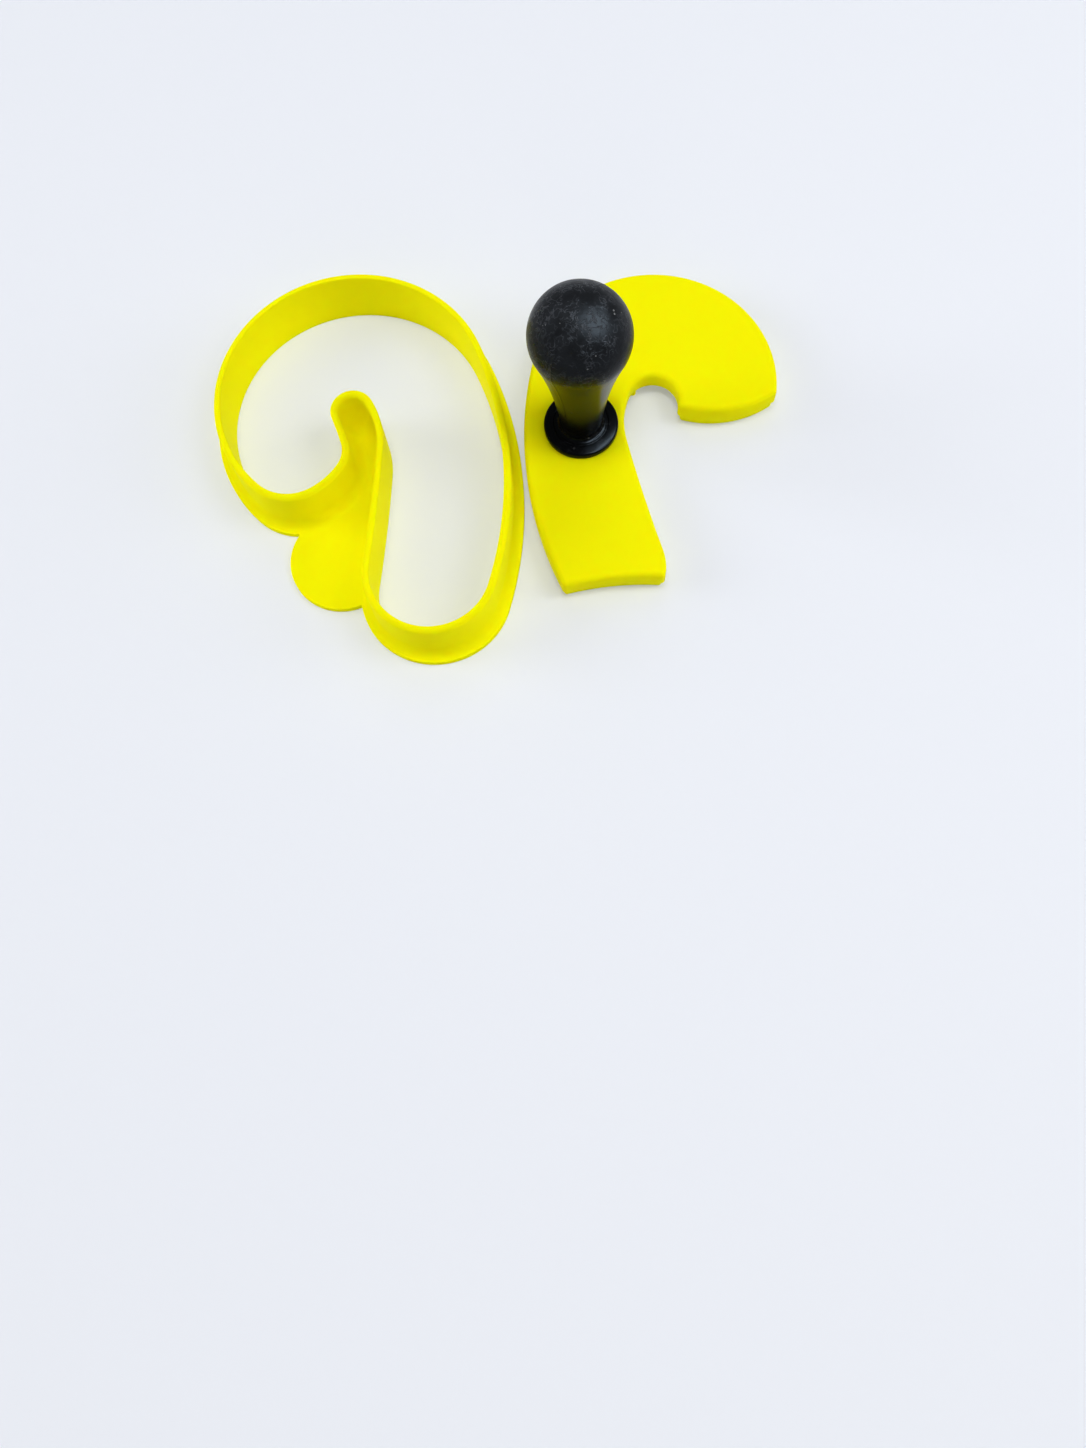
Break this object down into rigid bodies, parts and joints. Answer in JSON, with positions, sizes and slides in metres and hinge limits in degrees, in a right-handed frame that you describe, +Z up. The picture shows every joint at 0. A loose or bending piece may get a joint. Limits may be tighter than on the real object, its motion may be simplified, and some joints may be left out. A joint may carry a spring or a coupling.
{
  "type": "cookie cutter with stamp",
  "caption": "Cane-shaped cookie cutter with a thin wall on a flange and a finger tab, beside its loose stamp with raised stripes, a plain face and a ball-topped handle",
  "frame": {"origin": "on the surface the set lies on, under the middle of the whole set's box", "axes": "+Z up out of that surface; the cutter lies to -X with its rim up and its crown to +Y, the stamp to +X with its handle up; -Y is towards the viewer"},
  "size_m": [0.1374, 0.0998, 0.057],
  "materials": {
    "yellow_plastic": "satin",
    "black_plastic": "satin",
    "stud_steel": "turned"
  },
  "bodies": {
    "cutter": {"cutter": "yellow_plastic"},
    "stamp": {"stamp_plate": "yellow_plastic", "stamp_handle": "black_plastic", "handle_stud": "stud_steel"}
  },
  "joints": [
    {"name": "stamp_lift", "type": "slide", "parent": "cutter", "child": "stamp", "axis": [0, 0, 1], "range_m": [0, 0.06]}
  ]
}
